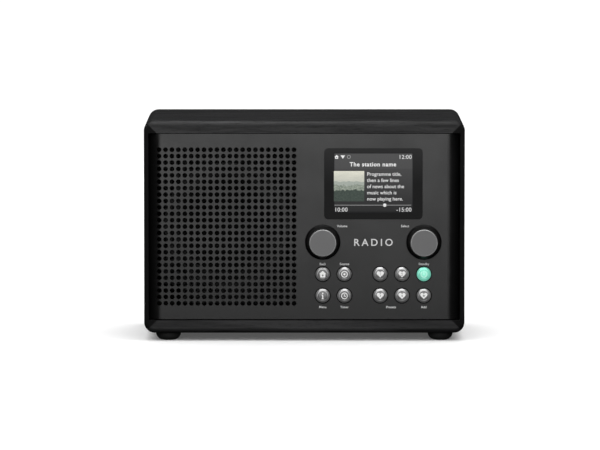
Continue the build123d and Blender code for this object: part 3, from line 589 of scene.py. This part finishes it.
def facing(x, y, z):
    """Stands a drawing made in XY up at a place, facing the front."""
    return Matrix.Translation((x, y, z)) @ Matrix.Rotation(math.pi / 2, 4, "X")


def finished(piece, body, surface):
    dress(piece, surface)
    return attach(piece, body)


def words(
    name, text, place, height, body, surface, slot,
    align="CENTER", spacing=1.0, bold=0.0, thick=PLATE,
):
    """Lettering whose capitals are the given height, centred on the place's height. Bold thickens its
    strokes by a share of that height."""
    curve = bpy.data.curves.new(name, "FONT")
    curve.body = text
    curve.size = height / CAPITAL_SHARE
    curve.align_x = align
    curve.space_character = spacing
    curve.extrude = thick / 2
    curve.offset = bold * height
    curve.resolution_u = 4
    x, y, z = place
    piece = as_mesh(name, curve, facing(x, y, z - height / 2))
    return finished(piece, body, surface)


def shape(name, outlines, place, body, surface, slot, thick=PLATE):
    """A thin plate of closed outlines in metres, where an outline inside another one is a hole."""
    curve = bpy.data.curves.new(name, "CURVE")
    curve.dimensions = "2D"
    curve.fill_mode = "BOTH"
    curve.extrude = thick / 2
    for outline in outlines:
        spline = curve.splines.new("POLY")
        spline.points.add(len(outline) - 1)
        for point, (x, z) in zip(spline.points, outline):
            point.co = (x, z, 0, 1)
        spline.use_cyclic_u = True
    return finished(as_mesh(name, curve, facing(*place)), body, surface)


def arc(radius, start=0.0, end=360.0, x=0.0, z=0.0, steps=48):
    """Points of an arc from one angle to another, in degrees."""
    count = steps if end - start >= 360 else steps + 1
    angles = [math.radians(start + (end - start) * i / steps) for i in range(count)]
    return [(x + radius * math.cos(a), z + radius * math.sin(a)) for a in angles]


def bar(x0, z0, x1, z1):
    return [(x0, z0), (x1, z0), (x1, z1), (x0, z1)]


def rounded(width, height, radius):
    """A rectangle with rounded corners, about the origin."""
    made = []
    for quarter, (sx, sz) in enumerate(((1, 1), (-1, 1), (-1, -1), (1, -1))):
        x, z = sx * (width / 2 - radius), sz * (height / 2 - radius)
        made += arc(radius, quarter * 90, quarter * 90 + 90, x, z, 8)
    return made


def heart(size):
    made = []
    for i in range(64):
        t = 2 * math.pi * i / 64
        x = 16 * math.sin(t) ** 3
        z = 13 * math.cos(t) - 5 * math.cos(2 * t) - 2 * math.cos(3 * t) - math.cos(4 * t) + 1.5
        made.append((x * size / 32, z * size / 32))
    return made


def house(size):
    r = size / 2
    walls = [
        (-0.72 * r, -0.9 * r), (0.72 * r, -0.9 * r), (0.72 * r, 0.05 * r), (1.0 * r, 0.05 * r),
        (0, 1.0 * r), (-1.0 * r, 0.05 * r), (-0.72 * r, 0.05 * r),
    ]
    return [walls, bar(-0.22 * r, -0.55 * r, 0.22 * r, -0.1 * r)]


def source_mark(size):
    r = size / 2
    return [arc(r), arc(r * 0.74), arc(r * 0.34)]


def power_mark(size):
    r = size / 2
    ring = arc(r, 122, 418) + list(reversed(arc(r * 0.74, 122, 418)))
    return [ring, bar(-0.13 * r, -0.05 * r, 0.13 * r, 1.05 * r)]


def info_mark(size):
    r = size / 2
    stem = [
        (-0.34 * r, -1.0 * r), (0.34 * r, -1.0 * r), (0.34 * r, -0.78 * r), (0.15 * r, -0.78 * r),
        (0.15 * r, 0.36 * r), (-0.34 * r, 0.36 * r), (-0.34 * r, 0.14 * r), (-0.15 * r, 0.14 * r),
        (-0.15 * r, -0.78 * r), (-0.34 * r, -0.78 * r),
    ]
    return [stem, arc(0.2 * r, x=0, z=0.76 * r)]


def clock_mark(size):
    r = size / 2
    hands = [
        (-0.1 * r, -0.12 * r), (0.42 * r, -0.3 * r), (0.47 * r, -0.12 * r), (0.1 * r, 0.06 * r),
        (0.1 * r, 0.55 * r), (-0.1 * r, 0.55 * r),
    ]
    return [arc(r), arc(r * 0.78), hands]


def plus_mark(size):
    a, b = size / 2, size / 9
    cross = [
        (-b, -a), (b, -a), (b, -b), (a, -b), (a, b), (b, b),
        (b, a), (-b, a), (-b, b), (-a, b), (-a, -b), (-b, -b),
    ]
    return [cross]


# ---------------------------------------------------------------- buttons' marks
# white and label ink glow a little, painted light on print with no lamp behind it; the mint ink glows
# with the lit standby button
white_ink = ink("white_ink", (0.82, 0.82, 0.81), 0.2)
label_ink = ink("label_ink", (0.66, 0.66, 0.66), 0.1)
dark_ink = ink("dark_ink", (0.045, 0.045, 0.045))
mint_ink = ink("mint_ink", (0.50, 0.86, 0.74), 0.25)

MARK_SIZE = 4.1 * MM
MARK_RISE = 0.03 * MM
MARK_THICK = 0.12 * MM
PRINT_RISE = 0.005 * MM
DIGIT_HEIGHT = 1.5 * MM
MARKS = {
    "home_button": house(MARK_SIZE * 1.08),
    "source_button": source_mark(MARK_SIZE),
    "info_button": info_mark(MARK_SIZE),
    "timer_button": clock_mark(MARK_SIZE),
    "standby_button": power_mark(MARK_SIZE),
}
HEART_TEXTS = {f"preset_{number}_button": str(number) for number in (1, 2, 3, 4)}


def mark_place(button):
    at = middle(button)
    return at.x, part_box(button)[0].y + MARK_RISE, at.z


def mark(button, outlines, surface):
    place = mark_place(button)
    shape(button + "_mark", outlines, place, button, surface, "button_silver", MARK_THICK)


for button, outlines in MARKS.items():
    mark(button, outlines, mint_ink if button == "standby_button" else white_ink)
for button in (*HEART_TEXTS, "add_preset_button"):
    mark(button, [heart(MARK_SIZE * 1.1)], white_ink)
    x, y, z = mark_place(button)
    front = (x, y - MARK_THICK / 2 - PRINT_RISE, z)
    name, ends = button + "_digit", (button, dark_ink, "button_silver")
    if button in HEART_TEXTS:
        words(name, HEART_TEXTS[button], front, DIGIT_HEIGHT, *ends)
    else:
        shape(name, plus_mark(DIGIT_HEIGHT), front, *ends)


# ---------------------------------------------------------------- labels on the front panel
LABEL_HEIGHT = 1.45 * MM
LABEL_THICK = 0.03 * MM
LABEL_RISE = 6.4 * MM
LABEL_DROP = 7.1 * MM
KNOB_LABEL_RISE = 10.1 * MM
VOLUME_LABEL_SHIFT = 12.1 * MM
SELECT_LABEL_SHIFT = -11.8 * MM
TITLE_HEIGHT = 4.5 * MM
LABEL_Y = FACE_Y - PRINT_RISE
LABELS_ABOVE = {"Back": "home_button", "Source": "source_button", "Standby": "standby_button"}
LABELS_BELOW = {"Menu": "info_button", "Timer": "timer_button", "Add": "add_preset_button"}


def label(text, x, z, height=LABEL_HEIGHT, spacing=1.05, bold=0.03):
    name, place = "label_" + text.lower(), (x, LABEL_Y, z)
    looks = {"spacing": spacing, "bold": bold, "thick": LABEL_THICK}
    words(name, text, place, height, CABINET, label_ink, "front_plastic", **looks)


for labels, shift in ((LABELS_ABOVE, LABEL_RISE), (LABELS_BELOW, -LABEL_DROP)):
    for text, button in labels.items():
        at = middle(button)
        label(text, at.x, at.z + shift)
presets = (middle("preset_3_button") + middle("preset_4_button")) / 2
label("Presets", presets.x, presets.z - LABEL_DROP)
volume, select = middle("volume_knob"), middle("select_knob")
label("Volume", volume.x + VOLUME_LABEL_SHIFT, volume.z + KNOB_LABEL_RISE)
label("Select", select.x + SELECT_LABEL_SHIFT, select.z + KNOB_LABEL_RISE)
label("RADIO", (volume.x + select.x) / 2, volume.z, TITLE_HEIGHT, 1.45, 0.015)


# ---------------------------------------------------------------- what the display shows
SCREEN_WIDTH = 49.6 * MM
SCREEN_HEIGHT = 38.0 * MM
SCREEN_RISE = 0.4 * MM
SCREEN_Y = LENS_LOW.y - 0.03 * MM
UI_Y = SCREEN_Y - 0.025 * MM
SCREEN_LEFT = LENS_MIDDLE.x - SCREEN_WIDTH / 2
SCREEN_TOP = LENS_MIDDLE.z + SCREEN_RISE + SCREEN_HEIGHT / 2
SCREEN_EDGE = 0.9 * MM
HEADER = 10.0 * MM

ui_white = display_sheet("ui_white", (0.90, 0.90, 0.90))
ui_grey = display_sheet("ui_grey", (0.36, 0.36, 0.36))


def backlight():
    """The display's dark background, brighter at the top and in the header, fading out at its edges."""
    s = Surface("backlight", **GLASS)
    x, _, z = s.axes()
    height = s.spread(z, SCREEN_TOP - SCREEN_HEIGHT, SCREEN_TOP)
    colour = s.mix(height, (0.018, 0.018, 0.018), (0.080, 0.080, 0.080))
    header = s.math("MULTIPLY", s.math("GREATER_THAN", z, SCREEN_TOP - HEADER), 0.35)
    colour = s.mix(header, colour, (0.092, 0.092, 0.092))
    fade = 1.0
    for a, b, soft in (
        (x, SCREEN_LEFT, SCREEN_EDGE),
        (SCREEN_LEFT + SCREEN_WIDTH, x, SCREEN_EDGE),
        (SCREEN_TOP, z, SCREEN_EDGE),
        (z, SCREEN_TOP - SCREEN_HEIGHT, SCREEN_EDGE * 2),
    ):
        fade = s.math("MULTIPLY", fade, s.spread(s.math("SUBTRACT", a, b), 0.0, soft))
    s.feed("Emission Color", pixels(s, s.mix(fade, (0.0, 0.0, 0.0), colour)))
    s.feed("Emission Strength", 1.0)
    return s


def on_screen(x, down):
    """A place on the display, from its left edge and its top edge, in millimetres."""
    return SCREEN_LEFT + x * MM, UI_Y, SCREEN_TOP - down * MM


def ui_shape(name, outlines, x, down, surface=None):
    return shape(name, outlines, on_screen(x, down), CABINET, surface or ui_white, "display_glass")


def ui_words(name, text, x, down, height, align="LEFT", spacing=1.0, bold=0.0):
    place, looks = on_screen(x, down), (align, spacing, bold)
    return words(name, text, place, height * MM, CABINET, ui_white, "display_glass", *looks)


shape(
    "screen_backlight",
    [rounded(SCREEN_WIDTH, SCREEN_HEIGHT, 0.3 * MM)],
    (LENS_MIDDLE.x, SCREEN_Y, SCREEN_TOP - SCREEN_HEIGHT / 2),
    CABINET,
    backlight(),
    "display_glass",
)
# places and heights on the display are in millimetres, as on_screen takes them
ICONS_DOWN = 2.6
DIGITS = 2.6
signal = [(-1.4 * MM, 0.95 * MM), (0, -1.15 * MM), (1.4 * MM, 0.95 * MM)]
ui_shape("screen_home", house(2.6 * MM), 1.9, ICONS_DOWN)
ui_shape("screen_signal", [signal], 5.75, ICONS_DOWN)
ui_shape("screen_clock_mark", [arc(1.15 * MM), arc(0.8 * MM)], 9.5, ICONS_DOWN, ui_grey)
ui_words("screen_time", "12:00", 48.7, 2.5, DIGITS, "RIGHT", 1.05)
ui_words("screen_title", "The station name", 24.5, 7.1, 2.65, "CENTER", 1.12, 0.035)
PICTURE = 18.9
PICTURE_DOWN = 11.4
picture_low = Vector((SCREEN_LEFT, 0, SCREEN_TOP - (PICTURE_DOWN + PICTURE) * MM))
picture_high = Vector((SCREEN_LEFT + PICTURE * MM, 0, SCREEN_TOP - PICTURE_DOWN * MM))
ui_shape(
    "screen_picture",
    [rounded(PICTURE * MM, PICTURE * MM, 0.05 * MM)],
    0.2 + PICTURE / 2,
    PICTURE_DOWN + PICTURE / 2,
    landscape(picture_low, picture_high),
)
TEXT_LINES = (
    "Programme title,",
    "then a few lines",
    "of news about the",
    "music which is",
    "now playing here.",
)
TEXT_LEFT, TEXT_DOWN, TEXT_PITCH, TEXT_HEIGHT = 20.8, 13.2, 3.86, 2.3
PROGRESS_DOWN = 32.7
TIMES_DOWN = 35.4
for row, text in enumerate(TEXT_LINES):
    down = TEXT_DOWN + TEXT_PITCH * row
    ui_words(f"screen_text_{row + 1}", text, TEXT_LEFT, down, TEXT_HEIGHT, bold=0.008)
track = bar(0, -0.16 * MM, 47.8 * MM, 0.16 * MM)
ui_shape("screen_progress_line", [track], 0.55, PROGRESS_DOWN, ui_grey)
ui_shape("screen_progress_knob", [arc(1.05 * MM)], 31.9, PROGRESS_DOWN)
ui_words("screen_time_played", "10:00", 0.5, TIMES_DOWN, DIGITS, spacing=1.05)
ui_words("screen_time_left", "-15:00", 48.6, TIMES_DOWN, DIGITS, "RIGHT", 1.05)


# ---------------------------------------------------------------- floor, light and camera
FLOOR_HALF = 15.0


def floor():
    """A wide pale floor that lights itself a little, and casts nothing on the radio."""
    corners = [(x * FLOOR_HALF, y * FLOOR_HALF, 0) for x, y in ((-1, -1), (1, -1), (1, 1), (-1, 1))]
    mesh = bpy.data.meshes.new("floor")
    mesh.from_pydata(corners, [], [(0, 1, 2, 3)])
    made = bpy.data.objects.new("floor", mesh)
    bpy.context.scene.collection.objects.link(made)
    s = Surface("pale_floor", specular=0.1)
    s.feed("Base Color", s.mix(s.noise(40, 4.0), (0.87, 0.87, 0.87), (0.9, 0.9, 0.9)))
    s.feed("Roughness", s.spread(s.noise(90, 3.0), 0.3, 0.7, 0.75, 0.9))
    s.feed("Emission Color", (1.0, 1.0, 1.0, 1.0))
    s.feed("Emission Strength", 0.085)
    made.data.materials.append(s.material)
    made.visible_glossy = False
    made.visible_diffuse = False
    made.visible_shadow = False


def aim(made, place, target):
    made.location = place
    direction = Vector(target) - Vector(place)
    made.rotation_mode = "QUATERNION"
    made.rotation_quaternion = direction.to_track_quat("-Z", "Y")
    bpy.context.scene.collection.objects.link(made)
    return made


def soft_box(name, place, target, width, height, power, glossy=True, diffuse=True):
    light = bpy.data.lights.new(name, "AREA")
    light.shape = "RECTANGLE"
    light.size, light.size_y = width, height
    light.energy = power
    made = aim(bpy.data.objects.new(name, light), place, target)
    made.visible_camera = False
    made.visible_glossy = glossy
    made.visible_diffuse = diffuse


def overhead(strength, spread, forward):
    """Broad light from above, leaning forward by the given tangent, which no surface mirrors."""
    light = bpy.data.lights.new("overhead", "SUN")
    light.energy = strength
    light.angle = math.radians(spread)
    made = aim(bpy.data.objects.new("overhead", light), (0, -forward * 3, 3), (0, 0, 0))
    made.visible_glossy = False


def world(ambient):
    """White where the camera sees it, and a dim surround for everything else."""
    made = bpy.data.worlds.new("studio")
    made.use_nodes = True
    tree = made.node_tree
    background = tree.nodes["Background"]
    path = tree.nodes.new("ShaderNodeLightPath")
    level = tree.nodes.new("ShaderNodeMapRange")
    level.inputs[3].default_value = ambient
    level.inputs[4].default_value = 1.0
    tree.links.new(path.outputs["Is Camera Ray"], level.inputs[0])
    tree.links.new(level.outputs[0], background.inputs["Strength"])
    background.inputs["Color"].default_value = (1, 1, 1, 1)
    bpy.context.scene.world = made


CAMERA_DISTANCE = 3.5
CAMERA_ELEVATION = math.radians(4.6)
CAMERA_TARGET = Vector((-0.0027, FACE_Y, 0.0727))
CAMERA_LENS = 337.1


def camera():
    """A long lens, a little above the radio and square to its front."""
    data = bpy.data.cameras.new("camera")
    data.sensor_width = 36.0
    data.lens = CAMERA_LENS
    data.clip_start, data.clip_end = 0.1, 60.0
    back = Vector((0, -math.cos(CAMERA_ELEVATION), math.sin(CAMERA_ELEVATION)))
    place = CAMERA_TARGET + back * CAMERA_DISTANCE
    made = aim(bpy.data.objects.new("camera", data), place, CAMERA_TARGET)
    bpy.context.scene.camera = made


floor()
world(ambient=0.012)
overhead(strength=3.9, spread=115, forward=0.3)
soft_box(
    "front_card", place=(0, -0.75, 0.185), target=(0, FACE_Y, 0.11), width=0.68, height=0.42, power=1.93
)
soft_box(
    "top_card", place=(0, -0.42, 0.8), target=(0, FACE_Y, 0.08), width=0.9, height=0.9, power=9.5,
    diffuse=False,
)
soft_box(
    "rear_fill", place=(0.1, 1.0, 1.3), target=(0, 0.05, 0.06), width=0.9, height=0.6, power=8.0,
    glossy=False,
)
camera()
bpy.context.scene.view_settings.view_transform = "Standard"
